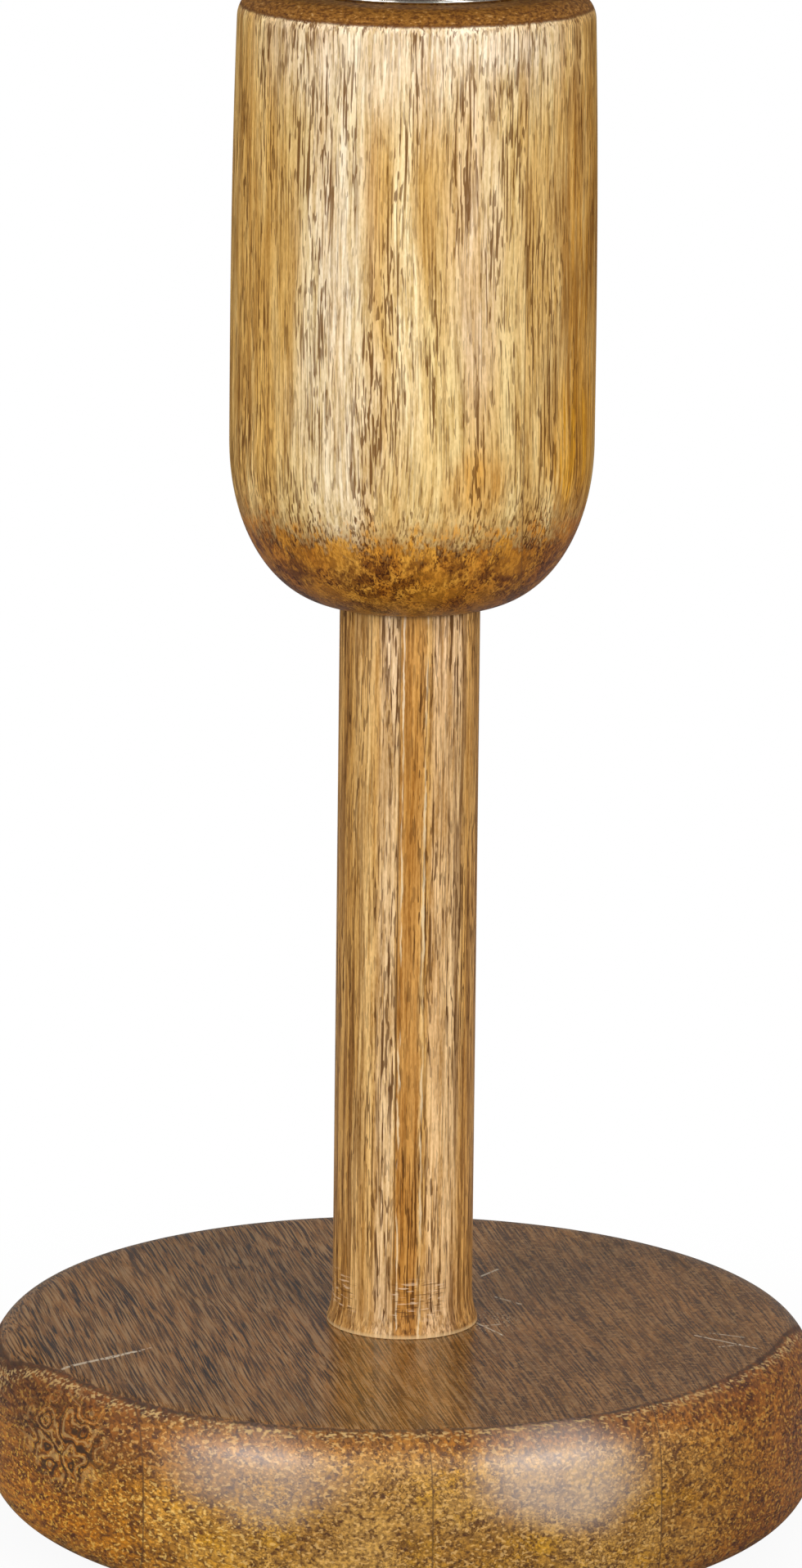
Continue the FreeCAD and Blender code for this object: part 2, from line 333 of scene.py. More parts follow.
class Wire:
    """A shader value that can stand in ordinary sums, each of which adds a Math node."""

    def __init__(self, nodes, socket):
        self.nodes = nodes
        self.socket = socket

    def sum(self, operation, *values):
        return self.nodes.node("ShaderNodeMath", {"operation": operation}, dict(enumerate(values)))

    def __add__(self, other):
        return self.sum("ADD", self, other)

    def __radd__(self, other):
        return self.sum("ADD", other, self)

    def __sub__(self, other):
        return self.sum("SUBTRACT", self, other)

    def __rsub__(self, other):
        return self.sum("SUBTRACT", other, self)

    def __mul__(self, other):
        return self.sum("MULTIPLY", self, other)

    def __rmul__(self, other):
        return self.sum("MULTIPLY", other, self)

    def __truediv__(self, other):
        return self.sum("DIVIDE", self, other)

    def __pow__(self, other):
        return self.sum("POWER", self, other)

    def __abs__(self):
        return self.sum("ABSOLUTE", self)

    def sine(self):
        return self.sum("SINE", self)

    def ramp(self, start, end):
        """0 at start, 1 at end and smooth between, whichever of the two is larger."""
        low, high = min(start, end), max(start, end)
        ends = (0.0, 1.0) if start < end else (1.0, 0.0)
        return self.nodes.node("ShaderNodeMapRange", {"interpolation_type": "SMOOTHSTEP"},
                               {0: self, 1: low, 2: high, 3: ends[0], 4: ends[1]})

    def band(self, start, full, fading, end):
        """0 up to start, 1 from full to fading, 0 again from end on."""
        return self.ramp(start, full) * self.ramp(end, fading)


class Nodes:
    """A node tree being made."""

    def __init__(self, tree):
        self.tree = tree

    def node(self, kind, settings, values, output=0):
        """One node: first its settings, then values or links of its sockets. Gives an output."""
        made = self.tree.nodes.new(kind)
        for key, value in settings.items():
            setattr(made, key, value)
        for key, value in values.items():
            self.feed(made.inputs[key], value)
        return Wire(self, made.outputs[output])

    def feed(self, socket, value):
        """A link or a plain value into a socket."""
        if isinstance(value, Wire):
            self.tree.links.new(value.socket, socket)
        else:
            socket.default_value = value

    def vector(self, operation, *values, output=0):
        settings = {"operation": operation}
        return self.node("ShaderNodeVectorMath", settings, dict(enumerate(values)), output)

    def dot(self, vector, direction):
        return self.vector("DOT_PRODUCT", vector, direction, output="Value")

    def length(self, vector):
        return self.vector("LENGTH", vector, output="Value")

    def point(self, x, y, z):
        return self.node("ShaderNodeCombineXYZ", {}, {0: x, 1: y, 2: z})

    def noise(self, point, detail=2.0, roughness=0.5, output=0):
        """Smooth noise about 0.5 with features one unit across."""
        values = {"Vector": point, "Scale": 1.0, "Detail": detail, "Roughness": roughness}
        return self.node("ShaderNodeTexNoise", {}, values, output)

    def cloud(self, place, sizes, detail=2.0, roughness=0.5):
        """Noise with features of these sizes along x, y and z."""
        return self.noise(self.vector("DIVIDE", place, sizes), detail, roughness)

    def mix(self, share, first, second, blend="MIX"):
        """A colour between two, or the second laid over the first with a blend."""
        return self.node("ShaderNodeMix", {"data_type": "RGBA", "blend_type": blend},
                         {0: share, 6: first, 7: second}, 2)

    def dyed(self, tone, dye):
        """The tone with its red, green and blue multiplied by the dye's."""
        return self.mix(1.0, tone, (*dye, 1.0), "MULTIPLY")

    def stain(self, share, tone, dye):
        """The tone with a share of it dyed."""
        return self.mix(share, tone, self.dyed(tone, dye))


class Finish(Nodes):
    """A material being made, with places on the object in millimetres."""

    def __init__(self, name):
        self.material = bpy.data.materials.new(name)
        self.material.use_nodes = True
        super().__init__(self.material.node_tree)
        self.shader = self.tree.nodes["Principled BSDF"]
        metres = self.node("ShaderNodeTexCoord", {}, {}, "Object")
        self.place = self.vector("MULTIPLY", metres, (1000, 1000, 1000))
        self.normal = self.node("ShaderNodeTexCoord", {}, {}, "Normal")

    def set(self, **values):
        """Values or links for the shader's sockets, whose names have _ for a blank."""
        for key, value in values.items():
            self.feed(self.shader.inputs[key.replace("_", " ")], value)

    def along(self, direction):
        """How far a place lies along a direction."""
        return self.dot(self.place, direction)

    def facing(self, direction):
        """How squarely the surface faces a direction, from 1 for square to -1 for away."""
        return self.dot(self.normal, direction)

    def scratch(self, start, end, width):
        """A line between two places: 1 on it, 0 past its width.

        The nearest point on the line is start + t (end - start), with t the share of the way along.
        """
        run = np.array(end) - np.array(start)
        offset = self.vector("SUBTRACT", self.place, start)
        share = self.dot(offset, tuple(run / (run @ run)))
        share = self.node("ShaderNodeClamp", {}, {0: share})
        nearest = self.vector("MULTIPLY", self.point(share, share, share), tuple(run))
        return self.vector("DISTANCE", offset, nearest, output="Value").ramp(width, width * 0.2)

    def bump(self, height, depth, strength):
        """A normal for a surface that rises by depth millimetres where height is 1."""
        values = {"Strength": strength, "Distance": depth * MM, "Height": height}
        return self.node("ShaderNodeBump", {}, values)


def colour(red, green, blue):
    """A screen colour of 0 to 255 as the linear colour that shaders take."""
    screen = np.array([red, green, blue]) / 255
    linear = np.where(screen <= 0.04045, screen / 12.92, ((screen + 0.055) / 1.055) ** 2.4)
    return (*linear.tolist(), 1.0)


# What every wooden finish shares, in millimetres
WANDER_ACROSS, WANDER_ALONG = 26.0, 70.0  # how far apart the grain's bends are
WANDER_REACH = (7.0, 7.0, 14.0)           # how far soft spots stray from their places
GLUE_LINE, GLUE_CORE = 0.22, 0.06         # from a seam, where its line ends and where it is full
BOARD_SHIFT = 91.0                        # between the places where two boards are cut
SOFT = (0.38, 0.62)                       # noise levels that two tones blend between


class Wood(Finish):
    """Lacquered wood, cut from a solid pattern whose fibres run along the grain.

    w is the place along the grain, u and v across it, all in millimetres. Fibres sway a little
    to each side of straight. Each board of a glued blank takes its pattern from elsewhere.
    """

    def __init__(self, name, grain, across, seed, seams, sway=2.0):
        super().__init__(name)
        grain, across = np.array(grain), np.array(across)
        grain_direction = tuple(grain)
        self.seed = seed
        u, v = self.along(tuple(across)), self.along(tuple(np.cross(grain, across)))
        w = self.along(grain_direction)
        bends = self.point(u / WANDER_ACROSS + seed, v / WANDER_ACROSS, w / WANDER_ALONG)
        wander = self.noise(bends, 2.0, output="Color")
        wander = self.vector("SUBTRACT", wander, (0.5, 0.5, 0.5))
        stray = self.vector("MULTIPLY", wander, WANDER_REACH)
        self.loose = self.vector("ADD", self.place, stray)
        self.glue = 0.0
        board = 0.0
        for seam in seams:
            edge = u - seam
            self.glue = abs(edge).ramp(GLUE_LINE, GLUE_CORE) + self.glue
            board = edge.ramp(-0.05, 0.05) + board
        shift = self.vector("MULTIPLY", wander, (sway * 2, sway * 2, 0.0))
        self.u = u + self.dot(shift, (1.0, 0.0, 0.0))
        self.v = v + self.dot(shift, (0.0, 1.0, 0.0))
        self.w = w + board * BOARD_SHIFT
        self.end = abs(self.facing(grain_direction))

    def figure(self, wide, long, detail=2.0, roughness=0.5, shift=0.0):
        """Noise drawn out along the grain: features so wide across it and so long along it.

        The shift picks another part of the same noise, so that two figures don't repeat.
        """
        place = self.point(self.u / wide + (self.seed + shift), self.v / wide, self.w / long)
        return self.noise(place, detail, roughness)

    def patch(self, centre, reach):
        """A soft spot: 1 in the middle, 0 past its reach in x, y and z."""
        from_centre = self.vector("SUBTRACT", self.loose, centre)
        return self.length(self.vector("DIVIDE", from_centre, reach)).ramp(1.0, 0.3)

    def streaked(self, tone, dark, light, pore, fine=0.5, long=14.0, pore_share=0.8, dashes=0.0):
        """The tone with fibres darker and lighter than it, and pores as short dark lines or dots.

        The fibres are three figures on each other: broad strands, fine fibres and short flecks.
        The pores crowd in some places, and dashes is how many of them are everywhere.
        """
        strand = self.figure(fine * 2.6, long * 2.2, 2.0, 0.6, shift=17.0).ramp(0.41, 0.57)
        coarse = self.figure(fine, long, 1.5, 0.5).ramp(0.42, 0.58)
        fleck = self.figure(fine * 0.7, 1.1, 1.0, 0.5, shift=3.0).ramp(*SOFT)
        self.fibre = strand * 0.34 + coarse * 0.44 + fleck * 0.22
        made = self.mix(self.fibre, self.dyed(tone, dark), self.dyed(tone, light))
        crowd = self.figure(5.0, 30.0, 2.0, 0.5, shift=5.0).ramp(0.38, 0.68)
        short = self.figure(0.40, 3.8, 1.0, 0.5, shift=9.0).ramp(0.57, 0.62)
        lines = self.figure(0.36, 14.0, 1.0, 0.5, shift=14.0).ramp(0.56, 0.61)
        pores = short * (dashes + 0.2 + crowd * 0.55) + lines * (dashes + 0.15 + crowd * 0.75)
        self.pores = self.node("ShaderNodeClamp", {}, {0: pores})
        return self.mix(self.pores * pore_share, made, pore)

    def lacquer(self, tone, roughness, coat, coat_roughness, gloss=0.5):
        """The satin coat, thinner over the pores, which still show through it as fine hollows."""
        relief = self.fibre * 0.3 - self.pores
        self.set(Base_Color=tone, Roughness=roughness + self.pores * 0.12,
                 Coat_Weight=coat * (1.0 - self.pores * 0.6), Coat_Roughness=coat_roughness,
                 Specular_IOR_Level=gloss, Normal=self.bump(relief, 0.05, 0.5))
        return self.material


# The head's wood spots and painted highlights, in front and behind: middle, reach, colour, and how
# much of it shows
HEAD_SPOTS_AND_HIGHLIGHTS = [
    ((-31, -12, 222), (12, 30, 80), colour(212, 160, 80), 0.9),
    # painted highlight: a pale column of sheen left of the middle
    ((-13, -29, 225), (9, 20, 70), colour(242, 222, 188), 0.85),
    ((-6.5, -31, 238), (3.4, 12, 26), colour(196, 142, 70), 0.6),
    ((-13, -29, 203), (15, 14, 22), colour(238, 212, 168), 0.7),
    # painted sheen under the rim, in the middle
    ((1, -32, 264), (15, 12, 18), colour(240, 214, 172), 0.7),
    ((-1, -32, 226), (4.0, 12, 46), colour(252, 226, 174), 0.95),
    ((5.8, -32, 235), (3.6, 12, 26), colour(206, 158, 92), 0.7),
    # painted highlight: a pale column of sheen right of the middle
    ((12, -30, 235), (6.5, 14, 44), colour(238, 208, 168), 0.8),
    ((18.5, -26, 235), (3.5, 14, 40), colour(218, 172, 104), 0.5),
    ((23, -21, 228), (5, 14, 60), colour(232, 188, 116), 0.6),
    ((31, -12, 222), (10, 30, 70), colour(190, 130, 42), 0.9),
    ((27, -17, 197), (7, 14, 17), colour(206, 140, 20), 0.9),
    ((11, -30, 192), (8, 14, 9), colour(208, 142, 44), 0.6),
    # painted highlights under the rim, right and left
    ((14, -28, 268), (14, 14, 5), colour(240, 218, 186), 0.55),
    ((-14, -28, 262), (10, 14, 10), colour(238, 214, 172), 0.6),
    ((-20, 26, 230), (13, 14, 40), colour(222, 180, 112), 0.7),
    ((8, 31, 205), (9, 14, 34), colour(190, 140, 78), 0.6),
    ((24, 20, 240), (8, 12, 30), colour(226, 188, 128), 0.6),
]
RIM_LINE = 272.0  # height at which the head's dark band begins


def head_finish():
    """Light golden wood, streaked upright, with painted highlights in front; end grain at the
    bottom, a dark band round the rim, partly painted shade.
    """
    f = Wood("head_lacquered_wood", UP, RIGHT, 3.0, seams=(19.2,))
    height, down, from_middle = f.along(UP), f.facing(DOWN), abs(f.u)
    ground = f.figure(7.0, 70.0, 3.0, 0.6, shift=2.0).ramp(*SOFT)
    tone = f.mix(ground, colour(212, 166, 92), colour(230, 198, 134))
    strands = 0.55 + f.figure(1.3, 20.0, 3.0, 0.6, shift=8.0).ramp(*SOFT) * 0.45
    for centre, reach, tint, share in HEAD_SPOTS_AND_HIGHLIGHTS:
        tone = f.mix(f.patch(centre, reach) * strands * share, tone, tint)

    # Dark and pale bands at the sides, a painted sheen under the rim, then the fibres and pores
    side = from_middle.ramp(18.0, 28.0)
    bands = f.figure(1.7, 24.0, 2.0, 0.5, shift=33.0)
    tone = f.stain(side * bands.ramp(0.50, 0.58) * 0.4, tone, (0.52, 0.38, 0.18))
    tone = f.stain(side * bands.ramp(0.47, 0.40) * 0.7, tone, (1.35, 1.45, 1.6))
    # painted sheen: a near-white zone under the rim
    painted_sheen_under_rim = height.ramp(252.0, 269.0) * from_middle.ramp(30.0, 20.0)
    tone = f.mix(painted_sheen_under_rim * 0.4, tone, colour(252, 232, 206))
    tone = f.streaked(tone, (0.74, 0.66, 0.50), (1.24, 1.31, 1.46), colour(106, 64, 16),
                      pore_share=0.9, dashes=0.2)

    # End grain at the bottom: mottled, with orange and dark clouds, deepest where it faces down
    mottle = f.cloud(f.loose, (3.0, 3.0, 3.0), 4.0, 0.7) * 0.6
    mottle = mottle + f.figure(0.8, 3.2, 3.0, 0.6, shift=71.0) * 0.4
    clouds = f.cloud(f.loose, (9.0, 9.0, 6.0))
    under = f.mix(mottle.ramp(0.44, 0.56), f.dyed(tone, (0.34, 0.17, 0.03)),
                  f.dyed(tone, (0.86, 0.56, 0.16)))
    under = f.mix(clouds.ramp(0.52, 0.62) * 0.35, under, colour(214, 144, 40))
    under = f.stain(clouds.ramp(0.48, 0.38) * 0.5, under, (0.60, 0.52, 0.42))
    under = f.stain(down.ramp(0.62, 0.95) * 0.5, under, (0.66, 0.58, 0.46))
    under = f.stain(from_middle.ramp(8.0, 20.0) * 0.9, under, (0.84, 0.74, 0.5))
    low = (down + mottle * 0.5 + f.fibre * 0.14).ramp(0.50, 0.70)
    tone = f.mix(low, tone, under)

    # The rim's speckled band, its dark brown partly end grain and partly painted shade of a face
    # turned up, and the darker line along its lower edge
    ragged = height + mottle * 0.8
    rim = ragged.ramp(RIM_LINE - 0.5, RIM_LINE + 0.1)
    speckle = f.cloud(f.place, (0.9, 0.9, 0.4), 3.0, 0.7)
    speckled = f.mix(speckle.ramp(0.36, 0.60), colour(88, 48, 12), colour(150, 100, 36))
    speckled = f.mix(speckle.ramp(0.60, 0.68) * 0.6, speckled, colour(208, 170, 112))
    tone = f.mix(rim, tone, speckled)
    edge_line = abs(ragged - RIM_LINE).ramp(0.45, 0.1)
    tone = f.mix(edge_line * 0.55, tone, colour(84, 46, 16))
    tone = f.mix(f.glue * 0.5, tone, colour(110, 68, 26))
    return f.lacquer(tone, 0.36 + rim * 0.3, 0.16 - rim * 0.16, 0.25, gloss=0.32)


def stem_finish():
    """Golden brown wood in two glued halves, with an orange strip along the joint."""
    f = Wood("stem_lacquered_wood", UP, RIGHT, 11.0, seams=(-1.6,), sway=0.7)
    height = f.along(UP)
    x = f.u + (f.figure(1.0, 5.0, 3.0, 0.6, shift=40.0) - 0.5) * 1.1
    broken = f.figure(0.8, 9.0, 2.0, 0.5, shift=44.0).ramp(0.40, 0.56)
    ground = f.figure(3.0, 80.0, 3.0, 0.6, shift=2.0).ramp(*SOFT)
    tone = f.mix(ground, colour(200, 150, 78), colour(224, 180, 112))

    # Upright strips: orange along the joint, pale beside it and partly painted highlight, browner
    # towards both sides
    tone = f.mix(x.band(-2.2, -1.2, 2.1, 3.1) * 0.8, tone, colour(182, 124, 50))
    # the pale strips each side of the joint are partly painted highlights of the two lamps
    tone = f.mix(x.band(-6.0, -4.2, -2.3, -1.5) * 0.7, tone, colour(222, 188, 140))
    tone = f.mix(x.band(3.2, 4.6, 8.4, 10.6) * 0.6, tone, colour(232, 192, 140))
    tone = f.mix(x.ramp(8.6, 11.0) * 0.8, tone, colour(208, 152, 76))
    tone = f.mix(x.ramp(-8.6, -10.6) * 0.8, tone, colour(198, 146, 72))
    dark_lines = f.figure(1.0, 40.0, 2.0, 0.5, shift=33.0).ramp(0.50, 0.57)
    tone = f.mix(abs(f.u).ramp(6.0, 9.5) * dark_lines * 0.6, tone, colour(112, 66, 18))
    tone = f.streaked(tone, (0.69, 0.58, 0.40), (1.30, 1.38, 1.56), colour(90, 52, 12),
                      fine=0.45, pore_share=0.95, dashes=0.16)

    # The joint's dark line, and a pale one along each side of the orange strip
    tone = f.mix(f.glue * (0.35 + broken * 0.5), tone, colour(80, 48, 18))
    tone = f.mix(abs(x - 2.9).ramp(0.32, 0.08) * broken * 0.7, tone, colour(240, 214, 170))
    tone = f.mix(abs(x + 1.1).ramp(0.28, 0.08) * broken * 0.8, tone, colour(240, 214, 170))

    # Lathe marks above the foot, in front
    rings = f.noise(f.point(f.u / 3.0, f.v / 3.0, height / 0.4), 2.0)
    in_front = x.ramp(-2.5, -1.0) * x.ramp(8.5, 6.0) + x.ramp(-8.0, -9.5)
    lathe = height.band(37.5, 39.5, 44.0, 46.5) * in_front
    tone = f.mix(lathe * rings.ramp(0.58, 0.64) * 0.7, tone, colour(236, 206, 168))
    tone = f.mix(lathe * rings.ramp(0.42, 0.36) * 0.7, tone, colour(98, 60, 28))

    # A duller foot, a top lightened as painted light against the head's shadow, a pale lip, and a
    # dark line under the head as painted shadow
    tone = f.stain(height.ramp(52.0, 38.0) * 0.8, tone, (0.82, 0.80, 0.84))
    # painted light: the top lightened where the head's shadow falls
    tone = f.stain(height.ramp(140.0, 163.0) * 0.9, tone, (1.14, 1.2, 1.4))
    tone = f.mix(height.ramp(36.0, 35.2) * 0.6, tone, colour(236, 204, 152))
    # painted shadow: the dark line where the stem meets the head
    tone = f.mix(height.ramp(165.2, 166.2) * 0.7, tone, colour(96, 62, 30))
    return f.lacquer(tone, 0.36, 0.1, 0.22, gloss=0.36)


# The base's grain, its seams across it, and what its top and side show
BASE_GRAIN_DEG = 12.0
BASE_SEAMS = (-55.9, -10.0, 31.7)
TOP_RADIUS = 70.1
TOP_SCRATCHES = [
    ((-60.1, -33.2, 35), (-46.5, -21.9, 35), 0.7),
    ((-52.0, -27.2, 35), (-44.5, -20.0, 35), 0.35),
    ((52.3, -8.6, 35), (63.0, -16.2, 35), 0.3),
    ((55.0, -7.0, 35), (61.0, -9.5, 35), 0.25),
    ((56.4, -15.5, 35), (60.1, -13.8, 35), 0.3),
    ((14.2, 27.2, 35), (17.5, 32.1, 35), 0.4),
    ((16.9, 14.2, 35), (21.5, 9.7, 35), 0.35),
    ((13.1, -1.9, 35), (18.0, -9.9, 35), 0.35),
    ((15.0, -4.0, 35), (17.6, -3.0, 35), 0.3),
]
# Painted highlights of the two lamps on the base's side, in front: middle and how much shows, and
# their reach
SIDE_PAINTED_HIGHLIGHTS = [((-25.5, -69.5, 27.5), 0.24), ((28, -68.5, 27.5), 0.37)]
PAINTED_HIGHLIGHT_REACH = (22, 16, 12)
RIPPLES = 42.0  # radians of the wave from the noise's lowest to its highest


def base_finish():
    """Brown wood lying flat: long pores on top, speckled golden end grain round the side, with
    painted highlights, glow and shade.
    """
    turn = math.radians(BASE_GRAIN_DEG)
    f = Wood("base_lacquered_wood", (math.sin(turn), -math.cos(turn), 0),
             (math.cos(turn), math.sin(turn), 0), 23.0, seams=BASE_SEAMS)
    x, z, nearer = f.along(RIGHT), f.along(UP), f.along((-0.2, 1, 0))
    ground = f.figure(11.0, 60.0, 3.0, 0.6, shift=2.0).ramp(0.36, 0.64)
    tone = f.mix(ground, colour(141, 93, 27), colour(170, 122, 53))
    blush = f.cloud(f.place, (15.0, 15.0, 8.0), 4.0, 0.65)
    tone = f.mix(blush.ramp(0.50, 0.66) * 0.75, tone, colour(174, 120, 14))
    # painted glow: orange light bounced up from the floor onto the lower side
    tone = f.mix(z.ramp(18.0, 6.0) * blush.ramp(0.35, 0.6) * 0.6, tone, colour(190, 130, 22))
    tone = f.stain(f.end.ramp(0.98, 0.6), tone, (0.80, 0.59, 0.29))

    # How far out a place is, made ragged. In front, the top's finish ends further in.
    out = f.length(f.vector("MULTIPLY", f.place, (1, 1, 0)))
    out = out + f.figure(0.8, 5.0, 2.0, 0.5, shift=31.0) * 1.4 - 2.6
    out = out + nearer.ramp(-4.0, -24.0) * 3.6
    out = out + nearer.ramp(-10.0, -60.0) * x.ramp(-45.0, 30.0) * 2.6
    top = out.ramp(TOP_RADIUS, TOP_RADIUS - 0.6) * f.facing(UP).ramp(0.3, 0.6)

    # The side: fibres cut across, pale crumbs, ends darkened as painted shade, a lighter lower
    # left, a darker edge, painted highlights
    tone = f.streaked(tone, (0.21, 0.13, 0.045), (1.62, 1.84, 2.2), colour(78, 42, 6),
                      fine=0.68, long=9.0)
    crumb = f.cloud(f.place, (0.85, 0.85, 0.55), 1.0, 0.5)
    tone = f.mix(crumb.ramp(0.57, 0.65) * 0.55, tone, colour(230, 184, 112))
    # painted shade: the side darker towards its left and right ends
    ends = abs(x).ramp(34.0, 64.0)
    tone = f.stain(ends * 0.9, tone, (0.84, 0.68, 0.22))
    tone = f.stain(x.ramp(-58.0, -66.0) * z.ramp(18.0, 24.0) * 0.6, tone, (0.70, 0.76, 0.95))
    tone = f.stain(x.ramp(-15.0, -45.0) * z.ramp(27.0, 20.0) * 0.9, tone, (1.58, 1.76, 1.5))
    tone = f.stain((z + ends * 3.0).ramp(32.5, 35.0) * 0.8, tone, (0.82, 0.76, 0.5))
    # painted highlights: two pale patches where the lamps shine on the side
    for centre, share in SIDE_PAINTED_HIGHLIGHTS:
        tone = f.mix(f.patch(centre, PAINTED_HIGHLIGHT_REACH) * share, tone, colour(208, 196, 190))

    # Wavy figure at the left, the sine of a noise
    ripple = (f.cloud(f.loose, (5.5, 5.5, 4.5), 1.0, 0.4) * RIPPLES).sine()
    waved = f.patch((-58, -44, 26), (15, 25, 11))
    tone = f.mix(ripple.ramp(0.35, 0.9) * waved * 0.95, tone, colour(56, 34, 10))
    tone = f.mix(ripple.ramp(-0.6, -0.95) * waved * 0.5, tone, colour(204, 164, 100))

    # Where the top ends: pale crumbs outside, a dark line that fades out behind
    crumbs = out.band(70.6, 71.2, 71.8, 73.2) * crumb.ramp(0.48, 0.58)
    tone = f.mix(crumbs * 0.45, tone, colour(226, 192, 128))
    edge_line = out.band(69.2, 69.9, 70.4, 71.4) * (0.25 + crumb.ramp(0.40, 0.55) * 0.65)
    tone = f.mix(edge_line * nearer.ramp(40.0, -10.0), tone, colour(58, 34, 12))

    # The top: brown, darker than the side partly as painted shade of a face turned up; dark grooves
    # and pale strokes that thin out to the right, specks there
    # the top's brown, darkened partly as painted shade
    worn = f.mix(f.figure(9.0, 40.0, 2.0, 0.5, shift=64.0).ramp(*SOFT), colour(123, 81, 32),
                 colour(143, 96, 44))
    worn = f.mix(f.fibre, f.dyed(worn, (0.62, 0.58, 0.52)), f.dyed(worn, (1.2, 1.22, 1.25)))
    tone = f.mix(top * 0.85, tone, worn)
    grooves = f.figure(0.30, 12.0, 1.0, 0.5, shift=61.0)
    left = x.ramp(45, -20)
    crowds = f.figure(12.0, 30.0, 2.0, 0.5, shift=63.0).ramp(0.40, 0.62)
    dense = left * 0.6 - 0.2 + crowds * 0.5
    tone = f.mix(grooves.ramp(0.53, 0.60) * top * (dense * 0.5 + 0.5), tone, colour(34, 20, 10))
    strokes = top * grooves.ramp(0.46, 0.39) * (left * 0.3 + 0.3)
    tone = f.mix(strokes, tone, colour(172, 136, 92))
    right = top * x.ramp(-25.0, 35.0)
    tone = f.mix(right * crumb.ramp(0.58, 0.66) * 0.3, tone, colour(186, 142, 92))
    tone = f.mix(right * crumb.ramp(0.42, 0.34) * 0.4, tone, colour(58, 34, 18))

    # Scratches, pale specks right of the stem, and the boards' glue lines
    scuffs = 0.0
    for start, end, width in TOP_SCRATCHES:
        scuffs = f.scratch(start, end, width) + scuffs
    broken = f.figure(0.6, 1.5, 2.0, 0.5, shift=50.0).ramp(0.36, 0.50)
    tone = f.mix(scuffs * broken * 0.9, tone, colour(214, 196, 170))
    specks = f.figure(0.5, 0.9, 1.0, 0.5, shift=52.0).ramp(0.60, 0.66)
    specks = f.patch((17, -2, 35), (8, 10, 4)) * specks
    tone = f.mix(specks * 0.8, tone, colour(196, 170, 132))
    tone = f.mix(f.glue * (0.6 - top * 0.35), tone, colour(66, 38, 16))
    coat = 0.8 - top * 0.66 - ends * (1.0 - top) * 0.45
    return f.lacquer(tone, 0.44 - top * 0.24, coat, 0.4)


def metal_finish(name, tone, spacing):
    """Polished plate over turned metal: the tool's rings, fine wiping marks, a dull bloom."""
    f = Finish(name)
    x, y, z = f.along(RIGHT), f.along(BACK), f.along(UP)
    radius = (x * x + y * y) ** 0.5
    rings = f.noise(f.point(radius / spacing, z / spacing, 0.0), 3.0, 0.6)
    bloom = f.cloud(f.place, (5.0, 5.0, 5.0), 3.0, 0.6)
    wiping = f.cloud(f.place, (0.25, 4.0, 4.0))
    roughness = 0.13 + rings * 0.08 + bloom.ramp(0.45, 0.7) * 0.08 + wiping.ramp(0.6, 0.7) * 0.06
    f.set(Base_Color=f.stain(bloom.ramp(0.4, 0.7) * 0.35, tone, (0.80, 0.79, 0.76)), Metallic=1.0,
          Roughness=roughness, Normal=f.bump(rings, 0.012, 0.6))
    return f.material


def zinc_finish():
    """Zinc plate: a grey spangle with a faint yellow cast."""
    f = Finish("zinc_plated_steel")
    spangle = f.cloud(f.place, (1.3, 1.3, 1.3), 3.0, 0.65)
    scuff = f.cloud(f.place, (0.2, 0.2, 2.0))
    f.set(Base_Color=f.mix(spangle.ramp(0.4, 0.62), colour(196, 196, 190), colour(214, 210, 194)),
          Metallic=1.0, Roughness=0.3 + spangle * 0.15 + scuff.ramp(0.55, 0.7) * 0.12,
          Normal=f.bump(scuff, 0.01, 0.5))
    return f.material


def felt_finish():
    """Dark brown felt: matted fibres lying every way, with a few pale ones."""
    f = Finish("brown_felt")
    mat = f.cloud(f.place, (0.5, 0.5, 0.5), 4.0, 0.7)
    clump = f.cloud(f.place, (4.0, 4.0, 4.0))
    hair_place = f.vector("DIVIDE", f.place, (0.9, 0.9, 0.9))
    hair = f.node("ShaderNodeTexNoise", {"noise_type": "RIDGED_MULTIFRACTAL", "normalize": True},
                  {"Vector": hair_place, "Scale": 1.0, "Detail": 2.0})
    tone = f.mix(mat.ramp(0.35, 0.65), colour(62, 52, 43), colour(108, 94, 80))
    tone = f.mix(clump.ramp(0.45, 0.7) * 0.4, tone, colour(74, 62, 50))
    tone = f.mix(hair.ramp(0.72, 0.9) * 0.5, tone, colour(150, 138, 120))
    f.set(Base_Color=tone, Roughness=0.95, Sheen_Weight=0.5, Sheen_Roughness=0.5,
          Specular_IOR_Level=0.15, Normal=f.bump(mat, 0.25, 0.8))
    return f.material


# Camera, at the photograph's angle
CAMERA_PLACE = (-1.24 * MM, -1380.5 * MM, 446.2 * MM)
CAMERA_DIP = 0.2229   # radians below level
CAMERA_ROLL = 0.0112  # radians
camera_data = bpy.data.cameras.new("camera")
camera_data.lens = 183.92
camera_data.sensor_width = 36.0
camera_data.clip_start = 0.05
camera_data.clip_end = 60.0
camera = bpy.data.objects.new("camera", camera_data)
bpy.context.scene.collection.objects.link(camera)
camera.matrix_world = (Matrix.Translation(CAMERA_PLACE)
                       @ Matrix.Rotation(math.pi / 2 - CAMERA_DIP, 4, "X")
                       @ Matrix.Rotation(CAMERA_ROLL, 4, "Z"))
bpy.context.scene.camera = camera

# The stand
for make_piece, finish in [
        (base_piece, base_finish()), (stem_piece, stem_finish()), (head_piece, head_finish()),
        (pan_piece, metal_finish("nickel_plated_pan", colour(226, 222, 214), 0.35)),
        (pricket_piece, metal_finish("nickel_plated_spike", colour(220, 217, 210), 0.5)),
        (felt_piece, felt_finish())]:
    make_piece().data.materials.append(finish)

zinc = zinc_finish()
for node in ("tie_rod", "tie_rod_nut", "lock_washer", "tie_rod_washer"):
    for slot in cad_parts[node].material_slots:
        slot.material = zinc

# Studio
FLOOR_REACH = 0.7
FLOOR_GAP = 0.2 * MM
FLOOR_SIDES = 96


